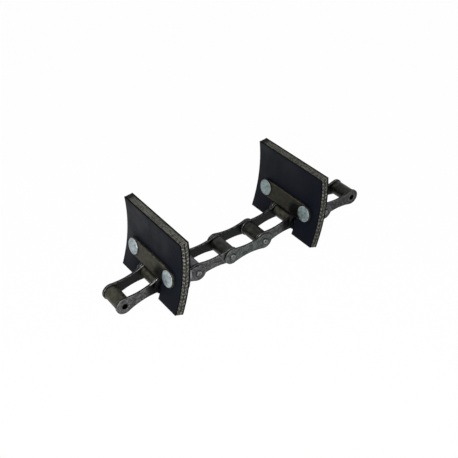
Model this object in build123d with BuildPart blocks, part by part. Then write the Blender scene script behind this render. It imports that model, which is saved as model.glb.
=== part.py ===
from build123d import *
import os
from math import asin, atan2, cos, degrees, hypot, radians, sin

# Paddle chain: a piece of steel roller chain that carries two upright rubber paddles.
#
# Frame: +Y runs along the chain, +X is across it, +Z is up. The chain lies on a flat surface at
# Z = 0, as it does off the machine: the paddles' feet lift the front end of each paddle link, so
# four of the seven links lie tilted. Joint stations are numbered 1 to 8 from the -Y end, and so
# are links 1 to 7. Right is +X and left is -X.

# Chain sizes, in mm
pitch = 41.4                 # distance between neighbouring pins
inner_width = 23.2           # clear width between the plates of a roller link
plate_thickness = 2.7
end_radius = 8.8             # round end of a side plate, about its pin
waist_half_height = 5.8      # half the height of a side plate at its waist
plate_edge = 0.4             # broken edge of the stamped plates
roller_radius = 7.8
roller_edge = 0.8            # rounded rim of a roller
bush_radius = 4.35           # outside of the bush that a roller turns on
pin_radius = 2.86
pin_projection = 1.4         # how far a riveted pin end stands out of the outer plate
pin_swell = 0.35             # how far the riveted end is spread over the plate
pin_dome = 0.5               # rounding of the riveted end

# Clearances, in mm
pin_clearance = 0.05         # pin in bush, on the radius
roller_clearance = 0.10      # roller on bush, on the radius
roller_play = 0.25           # roller to inner plate, each side
side_play = 0.30             # inner plate to outer plate
bush_projection = 0.10       # bush end proud of the inner plate
strap_clearance = 0.25       # strap above the round ends of the plates
notch_clearance = 0.70       # paddle notch beside the pin ends

# Paddle sizes, in mm
paddle_width = 98.5
paddle_height = 78.0         # between the front corners, top to foot
paddle_thickness = 9.5
paddle_curve = 174.0         # radius of the hollow front face, about an axis across the chain
crown_height = 27.2          # where the front face stands upright, above the pins
crown_setback = 1.65         # front face at the crown, ahead of the pin
foot_drop = 12.4             # front corner of the foot, below the pins
notch_corner = 2.0           # rounded upper corners of the notch
paddle_corner = 1.0          # slightly rounded corners of the sheet

# Clamp sizes, in mm
strap_half_height = 9.3
strap_thickness = 2.7
rivet_spacing = 62.2
rivet_shank_radius = 4.0
rivet_head_radius = 8.3
rivet_head_height = 2.5
rivet_head_rim = 0.7         # straight rim below the dome
rivet_tail_radius = 6.0
rivet_tail_height = 2.2
rivet_fit = 0.05             # shank in its holes, on the radius
wing_end = 15.5              # wing beyond the rivet's axis
wing_end_flat = 4.0          # straight part of the wing's end edge, between round corners
bend_radius = 2.7            # inside radius of the bend between tab and wing
tab_top = 4.5                # level top edge of the tab, behind the bend
tab_foot = 11.6              # the tab's sloping edge ends this far ahead of the rear pin
tab_fillet = 4.0             # rounding of the tab's upper corner and of its foot
tab_relief = 1.5             # the tab narrows by this much below the bend

stations = 8
paddle_links = {2: "front", 6: "rear"}

# Places across the chain
inner_face = inner_width / 2
inner_outside = inner_face + plate_thickness
outer_face = inner_outside + side_play
outer_outside = outer_face + plate_thickness
pin_end = outer_outside + pin_projection

# What the chain lies on: the round ends of its plates
lie_height = max(end_radius, roller_radius)

# Paddle arc, in the paddle link's own frame: s along the link from its front pin, n up
arc_s = -crown_setback - paddle_curve
arc_n = crown_height
foot_angle = asin((crown_height + foot_drop) / paddle_curve)
head_angle = asin((paddle_height - foot_drop - crown_height) / paddle_curve)
back_curve = paddle_curve + paddle_thickness
heel_s = arc_s + back_curve * cos(foot_angle)
heel_drop = back_curve * sin(foot_angle) - arc_n

# Rest tilt: the link turns about its rear pin until the paddle's heel stands on the floor
heel_reach = hypot(pitch - heel_s, heel_drop)
tilt = max(0.0, degrees(atan2(heel_drop, pitch - heel_s) - asin(lie_height / heel_reach)))

# Clamp, where the strap, the paddle and the wings are riveted together
rivet_height = lie_height + strap_clearance + strap_half_height
lean = asin((crown_height - rivet_height) / paddle_curve)
strap_seat = strap_half_height**2 / (2 * paddle_curve)
notch_top = lie_height + strap_clearance + notch_clearance
notch_half_width = pin_end + notch_clearance

# Tilt of each link in degrees: a paddle link falls to its rear pin, and the one before it rises
tilts = {link: 0.0 for link in range(1, stations)}
for link in paddle_links:
    tilts[link] = -tilt
    tilts[link - 1] = tilt

# (y, z) of each pin axis at rest, centred on the chain's length
places = {1: (0.0, lie_height)}
for link, angle in tilts.items():
    y, z = places[link]
    places[link + 1] = (y + pitch * cos(radians(angle)), z + pitch * sin(radians(angle)))
middle = places[stations][0] / 2
places = {station: (y - middle, z) for station, (y, z) in places.items()}


def link_plane(link):
    """The link's own frame: x along the link from its front pin, y up, z across to the right."""
    angle = radians(tilts[link])
    y, z = places[link]
    return Plane(origin=(0, y, z), x_dir=(0, cos(angle), sin(angle)), z_dir=(1, 0, 0))


def clamp_to_link(back, up):
    """Link frame (s, n) of a point that lies back from, and up along, the wing's front face."""
    s = arc_s + (back_curve + back) * cos(lean) + up * sin(lean)
    n = arc_n - (back_curve + back) * sin(lean) + up * cos(lean)
    return s, n


def clamp_plane(link):
    """The wing's front face, where it meets the paddle's back: x to the left, y up, z backward."""
    frame = link_plane(link)
    s, n = clamp_to_link(0, 0)
    backward = frame.x_dir * cos(lean) - frame.y_dir * sin(lean)
    return Plane(origin=frame.from_local_coords((s, n, 0)), x_dir=(-1, 0, 0), z_dir=backward)


def write(piece, name):
    """Labels a finished piece and writes its file."""
    piece.part.label = name
    export_step(piece.part, f"parts/{name}.step")


def break_edges(piece, plane):
    """Breaks the outer edges of both faces of a flat plate, and leaves its holes sharp."""
    rims = []
    for face in piece.faces().filter_by(plane):
        rims += list(face.outer_wire().edges())
    chamfer(rims, plate_edge)


def write_flat_plate(link, level, hole_radius, name):
    """A stamped side plate of a link, whose left face lies at this level across the chain."""
    frame = link_plane(link)
    with BuildPart() as plate:
        with BuildSketch(frame.offset(level)):
            add(outline.sketch_local)
            with Locations((0, 0), (pitch, 0)):
                Circle(hole_radius, mode=Mode.SUBTRACT)
        extrude(amount=plate_thickness)
        break_edges(plate, frame)
    write(plate, name)


os.makedirs("parts", exist_ok=True)

# Side plate outline, in the link's frame: two round ends, and one long hollow that runs into both
slack = (pitch / 2) ** 2 + waist_half_height**2 - end_radius**2
hollow_radius = slack / (2 * (end_radius - waist_half_height))
hollow_n = waist_half_height + hollow_radius
turn = degrees(atan2(hollow_n, pitch / 2))
with BuildSketch() as outline:
    with BuildLine():
        CenterArc((0, 0), end_radius, turn, 180 - turn)
        CenterArc((pitch / 2, hollow_n), hollow_radius, 180 + turn, 180 - 2 * turn)
        CenterArc((pitch, 0), end_radius, 0, 180 - turn)
        mirror(about=Plane.XZ)
    make_face()

# Roller links: a pair of inner plates pressed on two bushes
for link in range(1, stations, 2):
    write_flat_plate(link, -inner_outside, bush_radius, f"link{link}_inner_plate_left")
    write_flat_plate(link, inner_face, bush_radius, f"link{link}_inner_plate_right")

for station, (y, z) in places.items():
    across = Plane(origin=(0, y, z), x_dir=(0, 1, 0), z_dir=(1, 0, 0))
    with BuildPart() as bush:
        with BuildSketch(across):
            Circle(bush_radius)
            Circle(pin_radius + pin_clearance, mode=Mode.SUBTRACT)
        extrude(amount=inner_outside + bush_projection, both=True)
    write(bush, f"bush{station}")

    with BuildPart() as roller:
        with BuildSketch(across):
            Circle(roller_radius)
        extrude(amount=inner_face - roller_play, both=True)
        fillet(roller.edges().filter_by(GeomType.CIRCLE), roller_edge)
        with BuildSketch(across):
            Circle(bush_radius + roller_clearance)
        extrude(amount=inner_face, both=True, mode=Mode.SUBTRACT)
    write(roller, f"roller{station}")

# Pins: riveted over the outer plates at both ends
for station in range(2, stations):
    y, z = places[station]
    with BuildPart() as pin:
        with BuildSketch(Plane(origin=(0, y, z), x_dir=(1, 0, 0), z_dir=(0, 0, 1))):
            with BuildLine():
                Polyline(
                    (0, 0),
                    (0, pin_radius),
                    (outer_outside, pin_radius),
                    (outer_outside, pin_radius + pin_swell),
                    (pin_end - pin_dome, pin_radius + pin_swell / 2),
                    (pin_end, pin_radius - pin_dome),
                    (pin_end, 0),
                    (0, 0),
                )
            make_face()
        revolve(axis=Axis((0, y, z), (1, 0, 0)))
        mirror(about=Plane.YZ)
    write(pin, f"pin{station}")

# Plain pin links: a pair of outer plates pressed on two pins
for link in range(2, stations, 2):
    if link not in paddle_links:
        write_flat_plate(link, -outer_outside, pin_radius, f"link{link}_outer_plate_left")
        write_flat_plate(link, outer_face, pin_radius, f"link{link}_outer_plate_right")

# Paddle links: outer plates with a tab that rises behind the paddle and bends out as a wing
bend_outside = bend_radius + plate_thickness
rivet_x = rivet_spacing / 2
wing_tip = rivet_x + wing_end
wing_start = outer_face + bend_outside
tab_low = clamp_to_link(bend_outside, -strap_half_height)
tab_high = clamp_to_link(bend_outside, strap_half_height)
tab_back = clamp_to_link(bend_outside + tab_top, strap_half_height)
foot_front = (tab_low[0] + tab_relief, 0.0)
foot_back = (pitch - tab_foot, 0.0)
slope_end = (pitch - tab_foot, waist_half_height)

for link in paddle_links:
    frame = link_plane(link)
    seat = clamp_plane(link)

    with BuildPart() as right_plate:
        with BuildSketch(frame.offset(outer_face)) as flat:
            add(outline.sketch_local)
            with BuildLine():
                Polyline(tab_low, tab_high, tab_back, slope_end, foot_back, foot_front, tab_low)
            make_face()
            upper_corner = flat.vertices().sort_by_distance(tab_back)[0]
            slope_foot = flat.vertices().sort_by_distance(slope_end)[0]
            fillet([upper_corner, slope_foot], tab_fillet)
            with Locations((0, 0), (pitch, 0)):
                Circle(pin_radius, mode=Mode.SUBTRACT)
        extrude(amount=plate_thickness)

        # Bend, swept up along the leaning front edge of the tab
        upward = seat.y_dir
        bottom = seat.origin - upward * strap_half_height
        with BuildSketch(Plane(origin=bottom, x_dir=(1, 0, 0), z_dir=upward)):
            with Locations((wing_start, bend_outside)):
                Circle(bend_outside)
                Circle(bend_radius, mode=Mode.SUBTRACT)
                Rectangle(
                    bend_outside, bend_outside, align=(Align.MAX, Align.MAX), mode=Mode.INTERSECT
                )
        extrude(amount=2 * strap_half_height)

        # Wing, flat against the back of the paddle
        with BuildSketch(seat) as wing:
            with Locations((-(wing_start + wing_tip) / 2, 0)):
                Rectangle(wing_tip - wing_start, 2 * strap_half_height)
            wing_corners = wing.vertices().group_by(Axis.X)[0]
            fillet(wing_corners, strap_half_height - wing_end_flat / 2)
            with Locations((-rivet_x, 0)):
                Circle(rivet_shank_radius + rivet_fit, mode=Mode.SUBTRACT)
        extrude(amount=plate_thickness)
    write(right_plate, f"link{link}_wing_plate_right")

    with BuildPart() as left_plate:
        mirror(right_plate.part, about=Plane.YZ)
    write(left_plate, f"link{link}_wing_plate_left")

# Rubber paddles: a curved sheet with a notch that straddles the chain
dome = rivet_head_height - rivet_head_rim
dome_radius = (rivet_head_radius**2 + dome**2) / (2 * dome)
dome_turn = degrees(asin(rivet_head_radius / dome_radius))
strap_front = -paddle_thickness - strap_seat - strap_thickness
tail_end = plate_thickness + rivet_tail_height
sweep = degrees(foot_angle + head_angle)
cut_reach = paddle_height    # cuts through the sheet reach this far to each side

for link, place in paddle_links.items():
    frame = link_plane(link)
    seat = clamp_plane(link)
    along = Plane(origin=frame.origin, x_dir=(-1, 0, 0), z_dir=frame.x_dir)

    with BuildPart() as paddle:
        with BuildSketch(frame):
            with BuildLine():
                front = CenterArc((arc_s, arc_n), paddle_curve, -degrees(foot_angle), sweep)
                back = CenterArc((arc_s, arc_n), back_curve, -degrees(foot_angle), sweep)
                Line(front @ 0, back @ 0)
                Line(front @ 1, back @ 1)
            make_face()
        extrude(amount=paddle_width / 2, both=True)
        sheet_corners = paddle.edges().filter_by(GeomType.LINE).filter_by(Axis.X, reverse=True)
        fillet(sheet_corners, paddle_corner)
        with BuildSketch(along) as notch:
            with Locations((0, notch_top)):
                Rectangle(
                    2 * notch_half_width,
                    notch_top + heel_drop + notch_corner,
                    align=(Align.CENTER, Align.MAX),
                )
            fillet(notch.vertices().group_by(Axis.Y)[-1], notch_corner)
        extrude(amount=cut_reach, both=True, mode=Mode.SUBTRACT)
        with BuildSketch(seat):
            with Locations((-rivet_x, 0), (rivet_x, 0)):
                Circle(rivet_shank_radius + rivet_fit)
        extrude(amount=cut_reach, both=True, mode=Mode.SUBTRACT)
    write(paddle, f"paddle_{place}")

    with BuildPart() as strap:
        with BuildSketch(seat.offset(strap_front)):
            SlotCenterToCenter(rivet_spacing, 2 * strap_half_height)
            with Locations((-rivet_x, 0), (rivet_x, 0)):
                Circle(rivet_shank_radius + rivet_fit, mode=Mode.SUBTRACT)
        extrude(amount=strap_thickness)
        break_edges(strap, seat)
    write(strap, f"strap_{place}")

    for side, x in (("left", rivet_x), ("right", -rivet_x)):
        foot = seat.from_local_coords((x, 0, 0))
        with BuildPart() as rivet:
            with BuildSketch(Plane(origin=foot, x_dir=seat.z_dir, z_dir=(1, 0, 0))):
                with BuildLine():
                    head = CenterArc(
                        (strap_front - rivet_head_height + dome_radius, 0),
                        dome_radius,
                        180 - dome_turn,
                        dome_turn,
                    )
                    Polyline(
                        head @ 0,
                        (strap_front, rivet_head_radius),
                        (strap_front, rivet_shank_radius),
                        (plate_thickness, rivet_shank_radius),
                        (plate_thickness, rivet_tail_radius),
                        (tail_end, rivet_tail_radius - rivet_tail_height / 2),
                        (tail_end, 0),
                        head @ 1,
                    )
                make_face()
            revolve(axis=Axis(foot, seat.z_dir))
        write(rivet, f"rivet_{place}_{side}")

print(f"Rest tilt of a paddle link: {tilt:.2f} degrees")
print(f"Raised pins stand {places[2][1]:.3f} mm up, the others {lie_height:.3f} mm")
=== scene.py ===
import math

import bmesh
import bpy
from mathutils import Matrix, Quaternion, Vector


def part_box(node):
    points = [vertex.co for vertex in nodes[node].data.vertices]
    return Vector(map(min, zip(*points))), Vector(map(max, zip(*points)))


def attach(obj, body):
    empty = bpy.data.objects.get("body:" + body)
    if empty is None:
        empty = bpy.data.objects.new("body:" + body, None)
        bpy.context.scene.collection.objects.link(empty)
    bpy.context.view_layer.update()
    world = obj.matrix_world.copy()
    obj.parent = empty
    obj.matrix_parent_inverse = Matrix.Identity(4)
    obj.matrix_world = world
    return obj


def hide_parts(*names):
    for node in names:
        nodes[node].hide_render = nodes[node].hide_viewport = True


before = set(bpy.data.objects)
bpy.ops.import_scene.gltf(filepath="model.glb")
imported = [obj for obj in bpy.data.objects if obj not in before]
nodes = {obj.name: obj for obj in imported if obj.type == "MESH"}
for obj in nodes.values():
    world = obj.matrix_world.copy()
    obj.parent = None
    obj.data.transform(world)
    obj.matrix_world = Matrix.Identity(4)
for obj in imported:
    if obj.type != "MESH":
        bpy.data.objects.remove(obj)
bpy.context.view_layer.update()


# Camera: it stands to the right of the chain's front end and looks down on it, so that the
# chain runs from lower left to upper right and the near plates show their outer faces.
def direction(azimuth, elevation):
    """From the chain towards a point at an azimuth and elevation in degrees."""
    a, e = math.radians(azimuth), math.radians(elevation)
    return Vector((math.sin(a) * math.cos(e), -math.cos(a) * math.cos(e), math.sin(e)))


lens_mm, sensor_mm = 61.09, 36.0
camera_azimuth, camera_elevation, camera_roll = 55.40, 37.09, -2.26
camera_aim = Vector((-0.0227, 0.0035, 0.0088))
camera_distance = 0.820

camera_data = bpy.data.cameras.new("studio_camera")
camera_data.sensor_width = sensor_mm
camera_data.lens = lens_mm
camera_data.clip_start, camera_data.clip_end = 0.01, 50.0
camera = bpy.data.objects.new("studio_camera", camera_data)
bpy.context.scene.collection.objects.link(camera)
backward = direction(camera_azimuth, camera_elevation)
roll = Quaternion((0, 0, 1), math.radians(camera_roll))
camera.rotation_mode = "QUATERNION"
camera.location = camera_aim + backward * camera_distance
camera.rotation_quaternion = backward.to_track_quat("Z", "Y") @ roll
bpy.context.scene.camera = camera
bpy.context.scene.view_settings.view_transform = "Standard"

# Studio: a white table that runs out into a white surround. The camera and the glossy metal see
# plain white through it, so a link that bends down past it still shows, and it keeps only a faint
# shadow of the chain.
table_radius, table_color = 6.0, (0.92, 0.92, 0.92, 1)
table_clearness, overhead_light = 0.985, 0.22


def add_node(tree, kind, inputs=None, **settings):
    """Adds a node, sets its properties, and fills its inputs with values or links."""
    node = tree.nodes.new(kind)
    for name, value in settings.items():
        setattr(node, name, value)
    for name, value in (inputs or {}).items():
        if isinstance(value, bpy.types.NodeSocket):
            tree.links.new(value, node.inputs[name])
        else:
            node.inputs[name].default_value = value
    return node


def math_node(tree, operation, first, second=0.0, clamp=False):
    """The result of one sum on two values or sockets."""
    return add_node(
        tree, "ShaderNodeMath", {0: first, 1: second}, operation=operation, use_clamp=clamp
    ).outputs[0]


def strongest(tree, first, *others):
    """The largest of some values."""
    for other in others:
        first = math_node(tree, "MAXIMUM", first, other)
    return first


def seen_rays(tree):
    """1 for rays from the camera, a glossy surface or glass."""
    path = add_node(tree, "ShaderNodeLightPath").outputs
    return strongest(tree, path["Is Camera Ray"], path["Is Glossy Ray"], path["Is Transmission Ray"])


def empty_material(name):
    """A new material and its node tree, with no nodes yet."""
    material = bpy.data.materials.new(name)
    material.use_nodes = True
    material.node_tree.nodes.clear()
    return material, material.node_tree


table_material, tree = empty_material("white_table")
shaded = add_node(tree, "ShaderNodeBsdfDiffuse", {"Color": table_color})
clear = add_node(tree, "ShaderNodeBsdfTransparent")
see_through = strongest(
    tree,
    math_node(tree, "MULTIPLY", seen_rays(tree), table_clearness),
    add_node(tree, "ShaderNodeLightPath").outputs["Is Shadow Ray"],
    add_node(tree, "ShaderNodeNewGeometry").outputs["Backfacing"],
)
table_surface = add_node(
    tree, "ShaderNodeMixShader", {0: see_through, 1: shaded.outputs[0], 2: clear.outputs[0]}
)
add_node(tree, "ShaderNodeOutputMaterial", {"Surface": table_surface.outputs[0]})

table = bmesh.new()
bmesh.ops.create_circle(table, cap_ends=True, radius=table_radius, segments=48)
table_mesh = bpy.data.meshes.new("white_table")
table.to_mesh(table_mesh)
table.free()
table_mesh.materials.append(table_material)
table_object = bpy.data.objects.new("white_table", table_mesh)
bpy.context.scene.collection.objects.link(table_object)

surround = bpy.data.worlds.new("white_surround")
surround.use_nodes = True
bpy.context.scene.world = surround
tree = surround.node_tree
tree.nodes.clear()
towards_eye = add_node(tree, "ShaderNodeNewGeometry").outputs["Incoming"]
rising = add_node(tree, "ShaderNodeSeparateXYZ", {0: towards_eye}).outputs["Z"]
overhead = math_node(tree, "LESS_THAN", rising, 0.0)
strength = strongest(
    tree, seen_rays(tree), math_node(tree, "MULTIPLY", overhead, overhead_light)
)
sky = add_node(tree, "ShaderNodeBackground", {"Color": (1, 1, 1, 1), "Strength": strength})
add_node(tree, "ShaderNodeOutputWorld", {"Surface": sky.outputs[0]})


def add_lamp(name, azimuth, elevation, distance, size, power):
    """A square soft lamp that faces the chain."""
    lamp_data = bpy.data.lights.new(name, "AREA")
    lamp_data.size, lamp_data.energy = size, power
    lamp = bpy.data.objects.new(name, lamp_data)
    bpy.context.scene.collection.objects.link(lamp)
    towards = direction(azimuth, elevation)
    lamp.location = towards * distance
    lamp.rotation_mode = "QUATERNION"
    lamp.rotation_quaternion = towards.to_track_quat("Z", "Y")


add_lamp("key_lamp", azimuth=52, elevation=27, distance=0.62, size=0.36, power=3.1)
add_lamp("front_lamp", azimuth=5, elevation=45, distance=0.7, size=0.4, power=0.6)
add_lamp("back_lamp", azimuth=200, elevation=60, distance=1.4, size=0.6, power=1.0)

# Side plates: stamped from strip steel, heat treated almost black and oiled. Their faces keep a fine
# grain and cloudy patches, the sheared rims show drag lines, and the edges are worn bright with a
# painted highlight. Painted shade blackens the rims and the inward faces.
inner_width, plate_thickness, side_play = 0.0232, 0.0027, 0.0003
outer_outside = inner_width / 2 + 2 * plate_thickness + side_play
sides = ("left", "right")


def new_group(name, inputs, outputs):
    """A node group with named sockets, and its input and output nodes."""
    group = bpy.data.node_groups.new(name, "ShaderNodeTree")
    for socket, kind, value in inputs:
        group.interface.new_socket(socket, in_out="INPUT", socket_type=kind).default_value = value
    for socket, kind in outputs:
        group.interface.new_socket(socket, in_out="OUTPUT", socket_type=kind)
    return group, group.nodes.new("NodeGroupInput").outputs, group.nodes.new("NodeGroupOutput")


def put_out(group, end, results):
    """Links results to the group's outputs."""
    for name, socket in results.items():
        group.links.new(socket, end.inputs[name])


def object_point(tree):
    """The place of a point on its piece, in metres."""
    return add_node(tree, "ShaderNodeTexCoord").outputs["Object"]


def vector_node(tree, operation, first, second=(0.0, 0.0, 0.0)):
    """The result of one sum on vectors, which is a number for distances, lengths and dot products."""
    node = add_node(tree, "ShaderNodeVectorMath", {0: first, 1: second}, operation=operation)
    gives_number = operation in ("DISTANCE", "LENGTH", "DOT_PRODUCT")
    return node.outputs["Value" if gives_number else "Vector"]


def fade(tree, value, start, stop, low=0.0, high=1.0, curve="LINEAR"):
    """Goes from low to high as a value goes from start to stop."""
    return add_node(
        tree,
        "ShaderNodeMapRange",
        {"Value": value, "From Min": start, "From Max": stop, "To Min": low, "To Max": high},
        interpolation_type=curve,
    ).outputs[0]


def mix_colors(tree, share, first, second):
    """Mixes two colours by the share of the second."""
    return add_node(
        tree, "ShaderNodeMix", {0: share, 6: first, 7: second}, data_type="RGBA"
    ).outputs[2]


def noise_mask(tree, coordinates, scale, low, high, detail=2.0, roughness=0.5):
    """Soft noise, stretched so that it runs from 0 to 1 between two of its levels."""
    cloud = add_node(
        tree,
        "ShaderNodeTexNoise",
        {"Vector": coordinates, "Scale": scale, "Detail": detail, "Roughness": roughness},
    )
    return fade(tree, cloud.outputs[0], low, high)


# Worn edges: where a softened normal leaves the true one the surface turns a corner, and noise breaks
# the wear there into stretches. The bright colour laid there is real wear and also a painted highlight
# on the edges.
worn_glinting_edges, given, end = new_group(
    "worn_glinting_edges",
    [
        ("Edge Width", "NodeSocketFloat", 0.0006),
        ("Patch Scale", "NodeSocketFloat", 260.0),
    ],
    [("Wear And Glint", "NodeSocketFloat"), ("Turned", "NodeSocketFloat"), ("Soft Normal", "NodeSocketVector")],
)
softened = add_node(worn_glinting_edges, "ShaderNodeBevel", {"Radius": given["Edge Width"]}, samples=6).outputs[0]
straight = add_node(worn_glinting_edges, "ShaderNodeNewGeometry").outputs["Normal"]
agreement = vector_node(worn_glinting_edges, "DOT_PRODUCT", softened, straight)
turned = fade(worn_glinting_edges, agreement, start=0.995, stop=0.86)
wear_and_glint = noise_mask(
    worn_glinting_edges, object_point(worn_glinting_edges), given["Patch Scale"], low=0.32, high=0.6, detail=3.0
)
put_out(worn_glinting_edges, end, {
    "Wear And Glint": math_node(worn_glinting_edges, "MULTIPLY", turned, wear_and_glint),
    "Turned": turned,
    "Soft Normal": softened,
})

# Cloudy skin: large soft patches and a fine grain give the tone between two colours.
cloudy_skin, given, end = new_group(
    "cloudy_skin",
    [
        ("Deep Color", "NodeSocketColor", (0.04, 0.04, 0.04, 1)),
        ("Pale Color", "NodeSocketColor", (0.08, 0.08, 0.08, 1)),
        ("Patch Scale", "NodeSocketFloat", 70.0),
        ("Grain Scale", "NodeSocketFloat", 1500.0),
    ],
    [
        ("Color", "NodeSocketColor"), ("Tone", "NodeSocketFloat"), ("Patches", "NodeSocketFloat"),
        ("Grain", "NodeSocketFloat"), ("Flecks", "NodeSocketFloat"),
    ],
)
patch_part, grain_part = 0.65, 0.35
point = object_point(cloudy_skin)
patches = noise_mask(
    cloudy_skin, point, given["Patch Scale"], low=0.37, high=0.63, detail=4.0, roughness=0.6
)
grain = noise_mask(cloudy_skin, point, given["Grain Scale"], low=0.25, high=0.75)
flecks = noise_mask(cloudy_skin, point, scale=680.0, low=0.56, high=0.68, detail=1.0)
tone = math_node(
    cloudy_skin,
    "ADD",
    math_node(cloudy_skin, "MULTIPLY", patches, patch_part),
    math_node(cloudy_skin, "MULTIPLY", grain, grain_part),
)
put_out(cloudy_skin, end, {
    "Color": mix_colors(cloudy_skin, tone, given["Deep Color"], given["Pale Color"]),
    "Tone": tone,
    "Patches": patches,
    "Grain": grain,
    "Flecks": flecks,
})

# Fine lines: noise drawn out along the axis whose stretch is small.
fine_lines, given, end = new_group(
    "fine_lines",
    [("Stretch", "NodeSocketVector", (100.0, 2000.0, 2000.0))],
    [("Lines", "NodeSocketFloat")],
)
stretched = vector_node(fine_lines, "MULTIPLY", object_point(fine_lines), given["Stretch"])
put_out(fine_lines, end, {
    "Lines": noise_mask(fine_lines, stretched, scale=1.0, low=0.3, high=0.7, detail=3.0),
})


def node_centre(name):
    """The middle of a CAD node's box at rest."""
    low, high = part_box(name)
    return (Vector(low) + Vector(high)) / 2


def from_axis(tree, bush):
    """How far a point lies from the axis of a bush."""
    centre = node_centre(bush)
    in_profile = vector_node(tree, "MULTIPLY", object_point(tree), (0.0, 1.0, 1.0))
    return vector_node(tree, "DISTANCE", in_profile, (0.0, centre.y, centre.z))


# Paddle foot: painted shade blackens the ends of the right plates under the paddles. Only the front
# link's upper edges get a painted highlight there. A spot on top of link 5's right plate has a painted
# glint too.
foot_setback, foot_shade_reach, foot_shade_full = 0.006, 0.0135, 0.007
highlight_reach, highlight_full, highlight_above, left_highlight = 0.008, 0.005, 0.004, 0.3
glint_reach, glint_full, glint_share = 0.004, 0.0022, 0.8
glint_offset = Vector((inner_width / 2 + plate_thickness / 2, -0.0058, 0.0067))
paddle_foot, given, end = new_group(
    "paddle_foot", [], [("Painted Shade", "NodeSocketFloat"), ("Painted Highlight", "NodeSocketFloat")]
)
point = object_point(paddle_foot)
across, along, height = add_node(paddle_foot, "ShaderNodeSeparateXYZ", {0: point}).outputs
on_right = math_node(paddle_foot, "GREATER_THAN", across, 0.0)
gaps = []
for bush in ("bush2", "bush6"):
    from_foot = math_node(paddle_foot, "SUBTRACT", along, node_centre(bush).y - foot_setback)
    gaps.append(math_node(paddle_foot, "ABSOLUTE", from_foot))
foot_shade = fade(paddle_foot, math_node(paddle_foot, "MINIMUM", *gaps), foot_shade_reach, foot_shade_full)
high_up = math_node(paddle_foot, "GREATER_THAN", height, node_centre("bush2").z + highlight_above)
front_highlight = math_node(
    paddle_foot,
    "MULTIPLY",
    fade(paddle_foot, gaps[0], highlight_reach, highlight_full),
    math_node(paddle_foot, "MULTIPLY", high_up, fade(paddle_foot, on_right, 0.0, 1.0, low=left_highlight)),
)
from_glint = vector_node(paddle_foot, "DISTANCE", point, tuple(node_centre("bush5") + glint_offset))
glint = fade(paddle_foot, from_glint, glint_reach, glint_full, high=glint_share)
put_out(paddle_foot, end, {
    "Painted Shade": math_node(paddle_foot, "MULTIPLY", foot_shade, on_right),
    "Painted Highlight": math_node(paddle_foot, "MAXIMUM", front_highlight, glint),
})

# Pin ring shade: a black ring of painted shade round each riveted pin end, where it meets the plate.
ring_reach, ring_full = 0.0046, 0.0032
pin_ring_shade, given, end = new_group("pin_ring_shade", [], [("Ring", "NodeSocketFloat")])
nearest = from_axis(pin_ring_shade, "bush2")
for station in range(3, 8):
    nearest = math_node(pin_ring_shade, "MINIMUM", nearest, from_axis(pin_ring_shade, f"bush{station}"))
put_out(pin_ring_shade, end, {"Ring": fade(pin_ring_shade, nearest, ring_reach, ring_full)})


def use_group(tree, group, inputs):
    """Places a node group in a material and returns its outputs."""
    node = add_node(tree, "ShaderNodeGroup", node_tree=group)
    for name, value in inputs.items():
        node.inputs[name].default_value = value
    return node.outputs


rim_tilt, tab_tilt, tab_gap = 0.6, 0.55, 0.0002


def plate_faces(tree):
    """Masks for the painted shade on the sheared rim of a plate, without its bent tab, and on its inward
    face.
    """
    coordinates = add_node(tree, "ShaderNodeTexCoord").outputs
    facing, lengthways = add_node(tree, "ShaderNodeSeparateXYZ", {0: coordinates["Normal"]}).outputs[:2]
    side = add_node(tree, "ShaderNodeSeparateXYZ", {0: coordinates["Object"]}).outputs["X"]
    edgeways = math_node(tree, "LESS_THAN", math_node(tree, "ABSOLUTE", facing), rim_tilt)
    outside = math_node(tree, "GREATER_THAN", math_node(tree, "ABSOLUTE", side), outer_outside + tab_gap)
    endways = math_node(tree, "GREATER_THAN", math_node(tree, "ABSOLUTE", lengthways), tab_tilt)
    on_tab = math_node(tree, "MULTIPLY", outside, endways)
    rim = math_node(tree, "SUBTRACT", edgeways, on_tab, clamp=True)
    inward = math_node(tree, "LESS_THAN", math_node(tree, "MULTIPLY", facing, side), 0.0)
    return rim, inward


plate_shade_color, ring_shade_color = (0.008, 0.008, 0.009, 1), (0.006, 0.006, 0.006, 1)
highlight_color = (0.95, 0.95, 0.93, 1)
fleck_share, plate_shade_share, ring_shade_share, drawn_share = 0.28, 0.9, 0.85, 0.3
patch_metal, plate_shade_metal, rub_smoothing = 0.95, 0.95, 0.12
grain_strength, line_depth, line_strength, oil_roughness = 0.7, 0.00006, 0.6, 0.3


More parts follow.
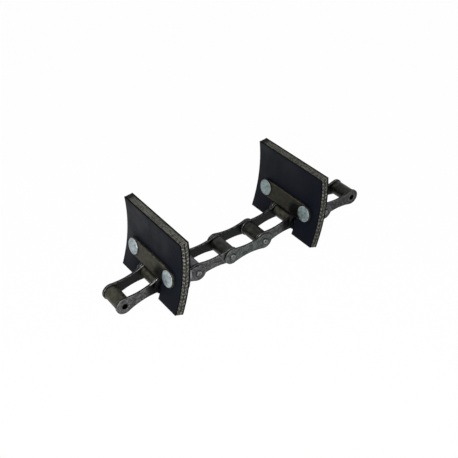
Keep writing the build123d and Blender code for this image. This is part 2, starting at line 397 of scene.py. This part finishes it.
def steel_finish(
    name,
    deep,
    pale,
    bright,
    patch_scale=70.0,
    grain_scale=1500.0,
    grain_depth=0.00005,
    edge_width=0.0006,
    smooth=0.38,
    rough=0.6,
    metal=0.2,
    mottle=0.5,
    lines=(60.0, 2200.0, 2200.0),
    sheared=False,
    highlighted=False,
    oil=0.05,
    shine=0.08,
):
    """Dark steel with cloudy patches, grain, lines, worn edges with a painted highlight, and a broken
    film of oil. Plates also get painted shade and painted highlights.
    """
    material, tree = empty_material(name)
    skin = use_group(tree, cloudy_skin, {
        "Deep Color": (*deep, 1),
        "Pale Color": (*pale, 1),
        "Patch Scale": patch_scale,
        "Grain Scale": grain_scale,
    })
    wear = use_group(tree, worn_glinting_edges, {"Edge Width": edge_width})
    wear_and_glint = wear["Wear And Glint"]
    drawn = use_group(tree, fine_lines, {"Stretch": lines})["Lines"]
    color, bright = skin["Color"], (*bright, 1)
    mottled_metal = metal + (patch_metal - metal) * mottle
    metallic = fade(tree, skin["Tone"], 0.0, 1.0, mottled_metal, metal)
    if sheared:
        rim, inward = plate_faces(tree)
        foot = use_group(tree, paddle_foot, {})
        ring = math_node(tree, "MULTIPLY", use_group(tree, pin_ring_shade, {})["Ring"], ring_shade_share)
        # Painted shade: rims, inward faces and the plate ends under the paddles are painted near black.
        plate_shade = strongest(tree, rim, inward, foot["Painted Shade"])
        drawn = math_node(tree, "MULTIPLY", drawn, rim)
        flecks = math_node(tree, "MULTIPLY", skin["Flecks"], fleck_share)
        color = mix_colors(tree, flecks, color, bright)
        color = mix_colors(tree, math_node(tree, "MULTIPLY", plate_shade, plate_shade_share), color, plate_shade_color)
        color = mix_colors(tree, ring, color, ring_shade_color)
        plate_shade_metallic = math_node(tree, "MULTIPLY", plate_shade, plate_shade_metal)
        metallic = math_node(tree, "MAXIMUM", metallic, plate_shade_metallic)
        wear_and_glint = math_node(tree, "MULTIPLY", wear_and_glint, math_node(tree, "SUBTRACT", 1.0, foot["Painted Shade"]))
        if highlighted:
            at_foot = math_node(tree, "MULTIPLY", foot["Painted Highlight"], wear["Turned"])
            wear_and_glint = math_node(tree, "ADD", wear_and_glint, at_foot, clamp=True)
            bright = mix_colors(tree, foot["Painted Highlight"], bright, highlight_color)
    color = mix_colors(tree, math_node(tree, "MULTIPLY", drawn, drawn_share), color, (*deep, 1))
    color = mix_colors(tree, wear_and_glint, color, bright)
    roughness = fade(tree, skin["Patches"], 0.0, 1.0, smooth, rough)
    rubbed_smooth = math_node(tree, "MULTIPLY", wear_and_glint, rub_smoothing)
    grained = add_node(tree, "ShaderNodeBump", {
        "Height": skin["Grain"],
        "Distance": grain_depth,
        "Strength": grain_strength,
        "Normal": wear["Soft Normal"],
    })
    surface = add_node(tree, "ShaderNodeBump", {
        "Height": drawn,
        "Distance": line_depth,
        "Strength": line_strength,
        "Normal": grained.outputs[0],
    })
    shader = add_node(tree, "ShaderNodeBsdfPrincipled", {
        "Base Color": color,
        "Metallic": metallic,
        "Roughness": math_node(tree, "SUBTRACT", roughness, rubbed_smooth, clamp=True),
        "Specular IOR Level": shine,
        "Normal": surface.outputs[0],
        "Coat Weight": math_node(tree, "MULTIPLY", skin["Patches"], oil),
        "Coat Roughness": oil_roughness,
    })
    add_node(tree, "ShaderNodeOutputMaterial", {"Surface": shader.outputs[0]})
    return material


def finish_nodes(material, names):
    """Gives CAD nodes their material."""
    for name in names:
        mesh = nodes[name].data
        mesh.materials.clear()
        mesh.materials.append(material)


plate_surface = {"patch_scale": 320.0, "edge_width": 0.0008, "sheared": True}
inner_plate_steel = steel_finish(
    "inner_plate_steel",
    deep=(0.010, 0.010, 0.011), pale=(0.104, 0.106, 0.108), bright=(0.36, 0.36, 0.35),
    highlighted=True, **plate_surface,
)
# Link 7's plates take a darker copy of this steel, as painted shade at the rear of the chain.
rear_shaded_plate_steel = steel_finish(
    "rear_shaded_plate_steel",
    deep=(0.007, 0.007, 0.008), pale=(0.062, 0.063, 0.065), bright=(0.30, 0.30, 0.29),
    **plate_surface,
)
outer_plate_steel = steel_finish(
    "outer_plate_steel",
    deep=(0.010, 0.014, 0.013), pale=(0.112, 0.126, 0.123), bright=(0.30, 0.32, 0.31),
    **plate_surface,
)
for side in sides:
    finish_nodes(inner_plate_steel, [f"link{link}_inner_plate_{side}" for link in (1, 3, 5)])
    finish_nodes(rear_shaded_plate_steel, [f"link7_inner_plate_{side}"])
    finish_nodes(outer_plate_steel, [f"link4_outer_plate_{side}"])

# Wing plates: outer plates of the paddle links, each with a tab that is bent outwards behind the paddle.
# A painted highlight draws a bright line on each face at the tab's foot, where the bend catches light.
line_before_pin, line_above_pin, line_squash = 0.0091, 0.003, 0.18
line_reach, line_full, line_share = 0.0013, 0.0006, 0.8
bend_highlight_color = (0.36, 0.36, 0.38, 1)


def shader_input(material, name):
    """An input of a material's shader, and the socket that feeds it."""
    shader = next(node for node in material.node_tree.nodes if node.type == "BSDF_PRINCIPLED")
    return shader.inputs[name], shader.inputs[name].links[0].from_socket


wing_steel = steel_finish(
    "wing_plate_steel",
    deep=(0.011, 0.010, 0.013), pale=(0.112, 0.108, 0.118), bright=(0.38, 0.37, 0.37),
    **plate_surface,
)
tree = wing_steel.node_tree
off_line = []
for bush in ("bush3", "bush7"):
    pin_centre = node_centre(bush)
    line_centre = (0.0, pin_centre.y - line_before_pin, pin_centre.z + line_above_pin)
    aside = vector_node(tree, "SUBTRACT", object_point(tree), line_centre)
    squashed = vector_node(tree, "MULTIPLY", aside, (0.0, 1.0, line_squash))
    off_line.append(vector_node(tree, "LENGTH", squashed))
bend_highlight = fade(
    tree, math_node(tree, "MINIMUM", *off_line), line_reach, line_full, high=line_share
)
color_input, plain_color = shader_input(wing_steel, "Base Color")
tree.links.new(mix_colors(tree, bend_highlight, plain_color, bend_highlight_color), color_input)
finish_nodes(wing_steel, [f"link{link}_wing_plate_{side}" for link in (2, 6) for side in sides])

# Bushes and rollers: turned and ground steel that has gone olive brown under old oil, with fine
# rings from turning. The bushes are pressed into the inner plates, and the rollers spin on them.
bore_radius, turned_rings, black_shade_color = 0.0031, (2600.0, 60.0, 60.0), (0.003, 0.003, 0.003, 1)


def paint_black_shade(material, mask):
    """Paints black shade over a steel where a mask says so."""
    tree = material.node_tree
    color_input, plain_color = shader_input(material, "Base Color")
    tree.links.new(mix_colors(tree, mask, plain_color, black_shade_color), color_input)
    metal_input, plain_metal = shader_input(material, "Metallic")
    tree.links.new(math_node(tree, "MAXIMUM", mask, plain_metal), metal_input)


bush_steel = steel_finish(
    "bush_steel",
    deep=(0.034, 0.034, 0.031), pale=(0.075, 0.075, 0.07), bright=(0.2, 0.2, 0.19),
    lines=turned_rings,
)
tree = bush_steel.node_tree
# The open bores of the end bushes are painted black as shade, and made fully rough.
open_bores = [from_axis(tree, bush) for bush in ("bush1", "bush8")]
in_bore = math_node(tree, "LESS_THAN", math_node(tree, "MINIMUM", *open_bores), bore_radius)
paint_black_shade(bush_steel, in_bore)
roughness_input, plain_roughness = shader_input(bush_steel, "Roughness")
tree.links.new(math_node(tree, "MAXIMUM", in_bore, plain_roughness), roughness_input)
finish_nodes(bush_steel, [f"bush{station}" for station in range(1, 9)])

# The rollers differ: 1, 2 and 6 are plain brown, 3 is a cooler grey, and the others are dark with oil
# and painted shade. On 2 and 6, painted shade lies black in the gap under the strap and along the lower
# front. Each band has a start and a full line, measured from the axis towards the strap's gap, and a
# share.
roller_surface = {
    "patch_scale": 200.0, "smooth": 0.34, "rough": 0.52, "lines": turned_rings,
    "oil": 0.1, "mottle": 0.3,
}
towards_gap = (0.0, 0.8, 0.6)
gap_band = {"start": -0.0006, "stop": 0.0012, "high": 0.85}
front_band = {"start": -0.0050, "stop": -0.0070, "high": 0.7}


def shade_roller(material, bush):
    """Two bands of painted shade that stay where they are on the roller's bush."""
    tree = material.node_tree
    off_axis = vector_node(tree, "SUBTRACT", object_point(tree), tuple(node_centre(bush)))
    back_up = vector_node(tree, "DOT_PRODUCT", off_axis, towards_gap)
    under_strap = fade(tree, back_up, **gap_band)
    lower_front = fade(tree, back_up, **front_band)
    paint_black_shade(material, math_node(tree, "MAXIMUM", under_strap, lower_front))


for station in (1, 2, 6):
    brown_steel = steel_finish(
        f"roller{station}_steel",
        deep=(0.020, 0.0195, 0.013), pale=(0.075, 0.073, 0.052), bright=(0.20, 0.20, 0.17),
        shine=0.12, **roller_surface,
    )
    if station != 1:
        shade_roller(brown_steel, f"bush{station}")
    finish_nodes(brown_steel, [f"roller{station}"])
oily_shaded_steel = steel_finish(
    "oily_shaded_roller_steel",
    deep=(0.010, 0.010, 0.009), pale=(0.046, 0.046, 0.039), bright=(0.34, 0.34, 0.30),
    metal=0.4, **roller_surface,
)
finish_nodes(oily_shaded_steel, [f"roller{station}" for station in (4, 5, 7, 8)])
grey_steel = steel_finish(
    "grey_roller_steel",
    deep=(0.050, 0.049, 0.058), pale=(0.170, 0.167, 0.190), bright=(0.34, 0.34, 0.36),
    metal=0.3, **roller_surface,
)
finish_nodes(grey_steel, ["roller3"])

# Pins: hardened steel, ground to size. Both ends are riveted over the outer plates, which leaves
# a raised ring round a shallow hollow.
pin_radius, pin_projection, pin_sides = 0.00286, 0.0014, 32
crease_degrees = 35
pin_end = outer_outside + pin_projection


def new_piece(name, mesh_data, materials, body):
    """Makes a finished piece of a bmesh, which rides on a body and takes a slot's finish."""
    bmesh.ops.recalc_face_normals(mesh_data, faces=mesh_data.faces)
    mesh = bpy.data.meshes.new(name)
    mesh_data.to_mesh(mesh)
    mesh_data.free()
    mesh.shade_smooth()
    mesh.set_sharp_from_angle(angle=math.radians(crease_degrees))
    for material in materials:
        mesh.materials.append(material)
    piece = bpy.data.objects.new(name, mesh)
    bpy.context.scene.collection.objects.link(piece)
    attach(piece, body)
    return piece


# The pin steel's bright edges are wear and a painted glint on the riveted rings.
pin_steel = steel_finish(
    "pin_steel",
    deep=(0.05, 0.052, 0.05), pale=(0.17, 0.175, 0.17), bright=(0.85, 0.85, 0.83),
    patch_scale=700.0, lines=turned_rings, smooth=0.22, rough=0.42, metal=0.8,
    edge_width=0.0009, mottle=0.3,
)
# Pins 2 and 6, under the paddles, take a near-black copy of the pin steel: painted shade.
shaded_pin_steel = steel_finish(
    "shaded_pin_steel",
    deep=(0.004, 0.004, 0.004), pale=(0.014, 0.014, 0.014), bright=(0.05, 0.05, 0.05),
    patch_scale=500.0, lines=turned_rings, metal=0.9,
)
# Each point of the right half's outline is a place along the pin and the radius there: the shank,
# the swollen head outside the plate, its rounded rim, and the hollow left by the riveting tool.
riveted_end = [
    (outer_outside, pin_radius),
    (outer_outside, pin_radius + 0.00030),
    (pin_end - 0.0007, pin_radius + 0.00016),
    (pin_end - 0.00025, pin_radius - 0.0002),
    (pin_end, pin_radius - 0.0008),
    (pin_end - 0.0001, pin_radius - 0.0012),
    (pin_end - 0.0005, pin_radius - 0.0017),
    (pin_end - 0.0006, 0.0),
]
outline = [(-x, radius) for x, radius in reversed(riveted_end)] + riveted_end
for station in range(2, 8):
    centre = node_centre(f"bush{station}")
    pin = bmesh.new()
    points = [pin.verts.new(centre + Vector((x, radius, 0))) for x, radius in outline]
    edges = [pin.edges.new(pair) for pair in zip(points, points[1:])]
    bmesh.ops.spin(
        pin, geom=points + edges, cent=centre, axis=(1, 0, 0), angle=2 * math.pi, steps=pin_sides,
        use_merge=True,
    )
    bmesh.ops.remove_doubles(pin, verts=pin.verts, dist=1e-6)
    steel = shaded_pin_steel if station in (2, 6) else pin_steel
    piece = new_piece(f"riveted_pin{station}", pin, [steel], f"link{station - station % 2}")
    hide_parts(f"pin{station}")

# Straps: rolled flat bar with round ends that spreads the rivets' pull over the rubber. Brown scale is
# left in the middle. Painted shade lies black round the rivet heads, and a painted shadow lies below and
# left of the right rivet.
rivet_spacing, rivet_head_radius = 0.0622, 0.0083
rivet_shade_overlap, rivet_shade_reach, rivet_shade_share, edge_share = 0.0005, 0.0035, 0.85, 0.7
shadow_right, shadow_drop, shadow_full, shadow_reach = 0.0185, 0.0035, 0.0065, 0.0125
shadow_share = 0.96


def strap_finish(name, strap, pale):
    """Brown scaled steel with painted shade round its two rivets and a painted shadow near the right
    one.
    """
    material = steel_finish(
        name,
        deep=(0.010, 0.0095, 0.0065), pale=pale, bright=(0.24, 0.23, 0.18),
        patch_scale=260.0, lines=(60.0, 1500.0, 1500.0), oil=0.0, shine=0.05, mottle=0.6,
        edge_width=0.0008,
    )
    tree = material.node_tree
    centre = node_centre(strap)
    point = object_point(tree)
    rivet_point = (rivet_spacing / 2, abs(centre.y), centre.z)
    from_rivet = vector_node(tree, "DISTANCE", vector_node(tree, "ABSOLUTE", point), rivet_point)
    rivet_shade = fade(
        tree, from_rivet, rivet_head_radius - rivet_shade_overlap, rivet_head_radius + rivet_shade_reach,
        low=rivet_shade_share, high=0.0, curve="SMOOTHSTEP",
    )
    shadow_point = (shadow_right, centre.y, centre.z - shadow_drop)
    from_shadow = vector_node(tree, "DISTANCE", point, shadow_point)
    painted_shadow = fade(
        tree, from_shadow, shadow_full, shadow_reach, low=shadow_share, high=0.0, curve="SMOOTHSTEP"
    )
    wear = next(node for node in tree.nodes if node.type == "GROUP" and node.node_tree == worn_glinting_edges)
    rubbed_off = math_node(tree, "MULTIPLY", wear.outputs["Turned"], edge_share)
    strap_shade = math_node(
        tree,
        "MULTIPLY",
        math_node(tree, "MAXIMUM", rivet_shade, painted_shadow),
        math_node(tree, "SUBTRACT", 1.0, rubbed_off),
    )
    paint_black_shade(material, strap_shade)
    return material


# The rear strap's darker pale colour is painted shade for the rear of the chain.
for which, pale in (("front", (0.082, 0.078, 0.058)), ("rear", (0.044, 0.043, 0.031))):
    finish_nodes(strap_finish(f"strap_steel_{which}", f"strap_{which}", pale), [f"strap_{which}"])

# Rivets: zinc plated steel with low domed heads, set by hammer through strap, rubber and wing, so the
# plating is mottled. The rear pair is painted darker, as painted shade.
for which, deep, pale in (
    ("front", (0.14, 0.18, 0.19), (0.46, 0.53, 0.545)),
    ("rear", (0.08, 0.11, 0.11), (0.31, 0.40, 0.40)),
):
    rivet_zinc = steel_finish(
        f"rivet_zinc_{which}", deep, pale, bright=(0.78, 0.82, 0.83), patch_scale=330.0,
        grain_scale=700.0, grain_depth=0.00012, lines=(300.0, 300.0, 300.0), metal=0.55,
        mottle=0.2, smooth=0.34, rough=0.5, oil=0.0, shine=0.5,
    )
    finish_nodes(rivet_zinc, [f"rivet_{which}_{side}" for side in sides])

# Paddles: pieces cut from black conveyor belting, two textile plies between rubber, and clamped
# between strap and wings. The cut edges show the plies' pale threads between the black covers.
paddle_width, paddle_height, paddle_thickness = 0.0985, 0.0780, 0.0095
hollow_radius, crown_height, crown_setback, foot_drop = 0.174, 0.0272, 0.00165, 0.0124
notch_half_width, notch_top = 0.0194, 0.00975
corner_radius, notch_corner_radius, rim_bevel = 0.00042, 0.00084, 0.00035
front_cover, ply_thickness, skim_thickness, back_cover = 0.0012, 0.0029, 0.0008, 0.0017
ply_lip, ply_sink, curve_rows = 0.00015, 0.0002, 28
foot_angle = math.asin((crown_height + foot_drop) / hollow_radius)
head_angle = math.asin((paddle_height - foot_drop - crown_height) / hollow_radius)
notch_angle = math.asin((notch_top - crown_height) / (hollow_radius + paddle_thickness))
middle_radius = hollow_radius + paddle_thickness / 2


def plain_material(name, shine):
    """A new material, its node tree and its shader."""
    material = bpy.data.materials.new(name)
    material.use_nodes = True
    shader = material.node_tree.nodes["Principled BSDF"]
    shader.inputs["Specular IOR Level"].default_value = shine
    return material, material.node_tree, shader


rubber, tree, shader = plain_material("belt_rubber", shine=0.06)
skin = use_group(tree, cloudy_skin, {
    "Deep Color": (0.0021, 0.0032, 0.0062, 1),
    "Pale Color": (0.0046, 0.0058, 0.0100, 1),
    "Patch Scale": 38.0,
    "Grain Scale": 2200.0,
})
pores = add_node(tree, "ShaderNodeBump", {"Height": skin["Grain"], "Distance": 0.00003, "Strength": 0.6})
dullness = fade(tree, skin["Patches"], 0.0, 1.0, low=0.46, high=0.66)
tree.links.new(skin["Color"], shader.inputs["Base Color"])
tree.links.new(dullness, shader.inputs["Roughness"])
tree.links.new(pores.outputs[0], shader.inputs["Normal"])

cut_rubber, tree, shader = plain_material("belt_rubber_cut", shine=0.02)
shader.inputs["Base Color"].default_value = (0.0018, 0.0019, 0.0021, 1)
shader.inputs["Roughness"].default_value = 0.9

# Thread patterns are sine waves, and their rates are in radians per metre of the cut edge.
thread_gap, thread_color = (0.011, 0.011, 0.009, 1), (0.27, 0.265, 0.23, 1)
cross_rate, cross_slant, cross_looseness = 1500.0, -1100.0, 6.0
long_rate, long_looseness, end_rate = 4000.0, 5.0, 3300.0
thread_share, fluff_share, end_share, thread_height = 0.7, 0.4, 0.9, 0.00025
closed_end, open_from = 0.0055, 0.0085


def soft_noise(tree, coordinates, scale, detail):
    """Plain noise, to shift a pattern with."""
    return add_node(
        tree, "ShaderNodeTexNoise", {"Vector": coordinates, "Scale": scale, "Detail": detail}
    ).outputs[0]


def cross_strokes(tree, point, along, depth):
    """Threads cut across: short strokes that slant both ways from the middle of the edge."""
    slant = math_node(tree, "MULTIPLY", math_node(tree, "ABSOLUTE", depth), cross_slant)
    loose = soft_noise(tree, point, scale=260.0, detail=1.0)
    run = math_node(
        tree,
        "ADD",
        math_node(tree, "MULTIPLY", along, cross_rate),
        math_node(tree, "MULTIPLY", loose, cross_looseness),
    )
    wave = math_node(tree, "SINE", math_node(tree, "ADD", run, slant))
    return fade(tree, wave, start=-0.1, stop=0.9)


def long_strokes(tree, point, depth):
    """Threads that run along the edge, with a little wobble."""
    wobble = soft_noise(tree, point, scale=150.0, detail=2.0)
    phase = math_node(
        tree,
        "ADD",
        math_node(tree, "MULTIPLY", depth, long_rate),
        math_node(tree, "MULTIPLY", wobble, long_looseness),
    )
    return fade(tree, math_node(tree, "SINE", phase), start=-1.1, stop=0.9)


def ply_finish(name, cut_across):
    """Cut plies: pale threads and fluff over dark rubber, which closes over the long ones' left end."""
    material, tree, shader = plain_material(name, shine=0.15)
    shader.inputs["Roughness"].default_value = 0.85
    point = add_node(tree, "ShaderNodeUVMap", uv_map="edge_run").outputs[0]
    along, level = add_node(tree, "ShaderNodeSeparateXYZ", {0: point}).outputs[:2]
    depth = math_node(tree, "SUBTRACT", level, paddle_thickness / 2)
    if cut_across:
        strokes = cross_strokes(tree, point, along, depth)
    else:
        strokes = long_strokes(tree, point, depth)
    broken = noise_mask(tree, point, scale=480.0, low=0.38, high=0.6)
    threads = math_node(tree, "MULTIPLY", strokes, broken)
    fluff = noise_mask(tree, point, scale=1200.0, low=0.45, high=0.7, detail=1.0)
    share = math_node(
        tree,
        "ADD",
        math_node(tree, "MULTIPLY", threads, thread_share),
        math_node(tree, "MULTIPLY", fluff, fluff_share),
        clamp=True,
    )
    if not cut_across:
        ends = math_node(tree, "SINE", math_node(tree, "MULTIPLY", along, end_rate))
        frayed = noise_mask(tree, point, scale=70.0, low=0.48, high=0.6)
        hatch = math_node(tree, "MULTIPLY", math_node(tree, "MULTIPLY", ends, frayed), end_share)
        share = math_node(tree, "ADD", share, hatch, clamp=True)
        left_edge = -paddle_width / 2
        open_plies = fade(tree, along, left_edge + closed_end, left_edge + open_from)
        share = math_node(tree, "MULTIPLY", share, open_plies)
    color = mix_colors(tree, share, thread_gap, thread_color)
    raised = add_node(
        tree, "ShaderNodeBump", {"Height": share, "Distance": thread_height, "Strength": 0.8}
    )
    tree.links.new(color, shader.inputs["Base Color"])
    tree.links.new(raised.outputs[0], shader.inputs["Normal"])
    return material


paddle_materials = [
    rubber,
    ply_finish("belt_ply_braided", cut_across=True),
    ply_finish("belt_ply_threads", cut_across=False),
    cut_rubber,
]
cross_ply_index, long_ply_index, cut_rubber_index = 1, 2, 3
# A face looks along an axis when its normal has more than this along it. Levels that differ by
# less than the tolerance are the same.
looks_along, level_tolerance, sharp_turn = 0.7, 1e-5, 1.0


def score(belt, place, normal):
    """Cuts every face of the sheet along a plane, and keeps both sides."""
    everything = belt.faces[:] + belt.edges[:] + belt.verts[:]
    bmesh.ops.bisect_plane(belt, geom=everything, plane_co=place, plane_no=normal)


def faces_at(belt, level):
    """The edge faces whose middle lies at a level of the sheet's thickness."""
    return [
        face for face in belt.faces if abs(face.calc_center_median().z - level) < level_tolerance
    ]


def belt_blank():
    """The front face of the flat paddle, notched, rounded at its corners and scored in rows."""
    half = paddle_width / 2
    foot, head, step = (a * middle_radius for a in (-foot_angle, head_angle, notch_angle))
    belt = bmesh.new()
    corners = [
        belt.verts.new((x, y, 0))
        for x, y in (
            (half, foot), (half, head), (-half, head), (-half, foot),
            (-notch_half_width, foot), (-notch_half_width, step),
            (notch_half_width, step), (notch_half_width, foot),
        )
    ]
    belt.faces.new(corners)
    for rounded, radius in ((corners[:4], corner_radius), (corners[5:7], notch_corner_radius)):
        bmesh.ops.bevel(
            belt, geom=rounded, offset=radius, segments=4, profile=0.5, affect="VERTICES", material=-1
        )
    for x in (-notch_half_width, notch_half_width):
        score(belt, (x, 0, 0), (1, 0, 0))
    for row in range(1, curve_rows):
        score(belt, (0, foot + (head - foot) * row / curve_rows, 0), (0, 1, 0))
    return belt


def belt_sheet():
    """The paddle while it is still flat: x across, y along its curve, z from front to back."""
    belt = belt_blank()
    plies, level, skin = [], 0.0, belt.faces[:]
    for layer, thickness in (
        ("cover", front_cover), ("ply", ply_thickness), ("skim", skim_thickness),
        ("ply", ply_thickness), ("cover", back_cover),
    ):
        out = bmesh.ops.extrude_face_region(belt, geom=skin)["geom"]
        skin = [part for part in out if isinstance(part, bmesh.types.BMFace)]
        moved = [part for part in out if isinstance(part, bmesh.types.BMVert)]
        bmesh.ops.translate(belt, verts=moved, vec=(0, 0, thickness))
        if layer == "ply":
            plies.append(level + thickness / 2)
        elif layer == "skim":
            skim = level + thickness / 2
        level += thickness
    bmesh.ops.recalc_face_normals(belt, faces=belt.faces)
    for face in belt.faces:
        if abs(face.normal.z) < looks_along:
            face.material_index = cut_rubber_index
    for face in faces_at(belt, skim):
        if abs(face.normal.y) > looks_along:
            face.material_index = long_ply_index
    for ply in plies:
        band = faces_at(belt, ply)
        for face in band:
            sideways = abs(face.normal.x) > looks_along
            face.material_index = cross_ply_index if sideways else long_ply_index
        bmesh.ops.inset_region(
            belt, faces=band, thickness=ply_lip, depth=-ply_sink, use_even_offset=True,
            use_boundary=True,
        )
    rims = []
    for edge in belt.edges:
        heights = [vert.co.z for vert in edge.verts]
        on_cover = max(heights) < level_tolerance or min(heights) > level - level_tolerance
        if on_cover and len(edge.link_faces) == 2 and edge.calc_face_angle() > sharp_turn:
            rims.append(edge)
    bmesh.ops.bevel(
        belt, geom=rims, offset=rim_bevel, segments=2, profile=0.5, affect="EDGES", material=-1
    )
    belt.normal_update()
    return belt


def unroll(belt):
    """Gives the faces a map that runs along the edges, so that threads follow them."""
    run = belt.loops.layers.uv.new("edge_run")
    for face in belt.faces:
        sideways = abs(face.normal.x) > looks_along
        flat = abs(face.normal.z) > looks_along
        for loop in face.loops:
            x, y, z = loop.vert.co
            loop[run].uv = (x, y) if flat else (y, z) if sideways else (x, z)


for which, link in (("front", 2), ("rear", 6)):
    pin_centre = node_centre(f"bush{link}")
    along = (node_centre(f"bush{link + 1}") - pin_centre).normalized()
    upward = Vector((0, -along.z, along.y))
    belt = belt_sheet()
    unroll(belt)
    for vert in belt.verts:
        x, y, z = vert.co
        turn, radius = y / middle_radius, hollow_radius + z
        back = radius * math.cos(turn) - hollow_radius - crown_setback
        rise = radius * math.sin(turn) + crown_height
        vert.co = pin_centre + Vector((x, 0, 0)) + along * back + upward * rise
    piece = new_piece(f"belt_paddle_{which}", belt, paddle_materials, f"link{link}")
    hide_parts(f"paddle_{which}")
